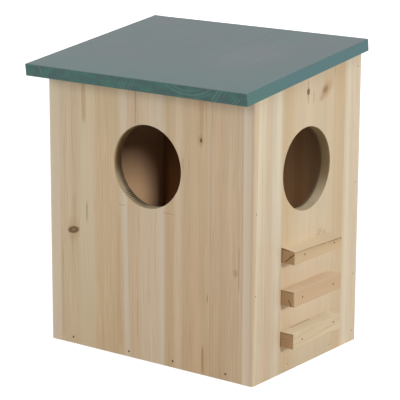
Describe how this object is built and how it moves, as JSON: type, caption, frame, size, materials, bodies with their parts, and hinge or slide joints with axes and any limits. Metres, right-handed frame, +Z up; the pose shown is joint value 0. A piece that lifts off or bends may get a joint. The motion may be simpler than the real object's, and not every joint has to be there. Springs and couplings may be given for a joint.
{
  "type": "squirrel house",
  "caption": "Free-standing squirrel house of edge-glued boards: a box with a stained lean-to roof, a round entrance in the front, another in the side and a ladder of square rungs.",
  "frame": {"origin": "middle of the box's footprint, on the ground under the floor", "axes": "+X to the side with the ladder and the side entrance, +Y from the front to the back, +Z up"},
  "size_m": [0.266, 0.2042, 0.3041],
  "materials": {
    "bare_fir": "bare planed softwood, matt",
    "green_stain": "grey-green stain, low sheen, grain showing"
  },
  "bodies": {
    "root": {"left_board_1": "bare_fir", "left_board_2": "bare_fir", "left_board_3": "bare_fir", "right_board_1": "bare_fir", "right_board_2": "bare_fir", "right_board_3": "bare_fir", "front_board_1": "bare_fir", "front_board_2_upper": "bare_fir", "front_board_2_lower": "bare_fir", "front_board_3": "bare_fir", "front_board_4": "bare_fir", "back_board_1": "bare_fir", "back_board_2": "bare_fir", "back_board_3": "bare_fir", "back_board_4": "bare_fir", "floor_board_1": "bare_fir", "floor_board_2": "bare_fir", "floor_board_3": "bare_fir", "roof_board_1": "green_stain", "roof_board_2": "green_stain", "roof_board_3": "green_stain", "roof_board_4": "green_stain", "roof_board_5": "green_stain", "rung_1": "bare_fir", "rung_2": "bare_fir", "rung_3": "bare_fir"}
  },
  "joints": []
}
